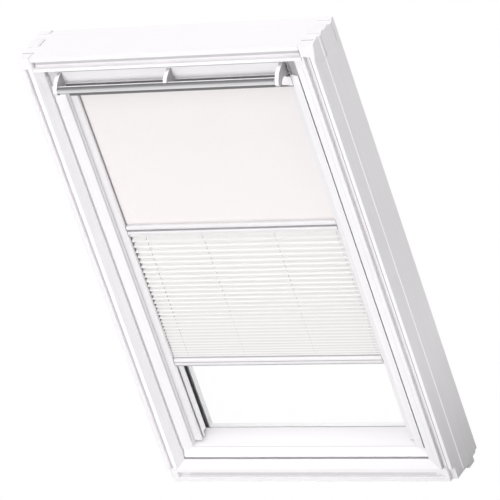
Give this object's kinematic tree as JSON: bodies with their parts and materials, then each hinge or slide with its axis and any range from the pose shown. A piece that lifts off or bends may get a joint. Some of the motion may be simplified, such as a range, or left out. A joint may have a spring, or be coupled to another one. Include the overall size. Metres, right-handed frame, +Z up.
{
  "type": "roof window with a double blind",
  "caption": "Centre-pivot timber roof window with an opening flap and bar, and a blackout roller blind above a pleated blind running in side channels.",
  "frame": {"origin": "centre of the bottom member's underside, at mid depth of the frame", "axes": "+X to the right seen from the room, +Y out through the roof, +Z up the window to its head"},
  "size_m": [0.78, 0.1683, 1.19],
  "materials": {
    "white_paint": "white paint on timber",
    "white_metal": "white powder coat",
    "grey_metal": "grey coat",
    "satin_aluminium": "satin",
    "zinc": "zinc plate",
    "black_rubber": "matt",
    "glass": "clear",
    "white_plastic": "moulded",
    "grey_foam": "open foam",
    "blackout_cloth": "coated weave",
    "pleated_cloth": "translucent weave"
  },
  "bodies": {
    "frame": {"frame_left": "white_paint", "frame_right": "white_paint", "frame_top": "white_paint", "frame_bottom": "white_paint", "pivot_plate_left": "zinc", "pivot_plate_right": "zinc", "strike_plate": "zinc", "frame_cover_left": "grey_metal", "frame_cover_right": "grey_metal", "frame_cover_top": "grey_metal", "frame_cover_bottom": "grey_metal"},
    "sash": {"sash_left": "white_paint", "sash_right": "white_paint", "sash_top": "white_paint", "sash_bottom": "white_paint", "glazing_gasket": "black_rubber", "glass_inner": "glass", "glass_outer": "glass", "glass_spacer": "satin_aluminium", "weather_seal": "black_rubber", "sash_pin_left": "zinc", "sash_pin_right": "zinc", "sash_cover_left": "grey_metal", "sash_cover_right": "grey_metal", "sash_cover_top": "grey_metal", "sash_cover_bottom": "grey_metal", "lock_case": "zinc", "cheek_left": "grey_metal", "cheek_right": "grey_metal", "air_filter_left": "grey_foam", "air_filter_right": "grey_foam", "channel_left": "white_metal", "channel_right": "white_metal", "casing": "white_metal", "casing_end_left": "white_plastic", "casing_end_right": "white_plastic", "casing_clip_left": "zinc", "casing_clip_right": "zinc", "blackout_cloth": "blackout_cloth"},
    "flap": {"flap_panel": "white_metal", "bracket_left": "white_metal", "bracket_middle": "white_metal", "bracket_right": "white_metal", "control_bar": "satin_aluminium"},
    "latch": {"latch_bolt": "zinc"},
    "roller": {"roller_tube": "satin_aluminium"},
    "blackout": {"blackout_rail": "white_metal", "blackout_rail_guide_left": "white_plastic", "blackout_rail_guide_right": "white_plastic"},
    "pleat_head": {"pleat_top_rail": "white_metal", "pleat_top_rail_guide_left": "white_plastic", "pleat_top_rail_guide_right": "white_plastic", "pleated_cloth": "pleated_cloth"},
    "pleat_foot": {"pleat_bottom_rail": "white_metal", "pleat_bottom_rail_guide_left": "white_plastic", "pleat_bottom_rail_guide_right": "white_plastic"}
  },
  "joints": [
    {"name": "sash_pivot", "type": "hinge", "parent": "frame", "child": "sash", "pos_m": [0, -0.0025, 0.589], "axis": [1, 0, 0], "range_deg": [0, 160]},
    {"name": "flap_hinge", "type": "hinge", "parent": "sash", "child": "flap", "pos_m": [0, -0.0465, 1.102], "axis": [1, 0, 0], "range_deg": [0, 35]},
    {"name": "latch_slide", "type": "slide", "parent": "sash", "child": "latch", "axis": [0, 0, 1], "range_m": [-0.01, 0]},
    {"name": "blackout_slide", "type": "slide", "parent": "sash", "child": "blackout", "axis": [0, 0, 1], "range_m": [0, 0.35], "deforming": ["blackout_cloth"]},
    {"name": "roller_spin", "type": "hinge", "parent": "sash", "child": "roller", "pos_m": [0, -0.01005, 1.077], "axis": [-1, 0, 0], "continuous": true},
    {"name": "pleat_head_slide", "type": "slide", "parent": "sash", "child": "pleat_head", "axis": [0, 0, 1], "range_m": [-0.19, 0]},
    {"name": "pleat_foot_slide", "type": "slide", "parent": "pleat_head", "child": "pleat_foot", "axis": [0, 0, 1], "range_m": [0, 0.27], "deforming": ["pleated_cloth"]}
  ],
  "couplings": [
    {"joint": "latch_slide", "follows": "flap_hinge", "m_per_rad": -0.01637},
    {"joint": "roller_spin", "follows": "blackout_slide", "rad_per_m": 83.333}
  ]
}
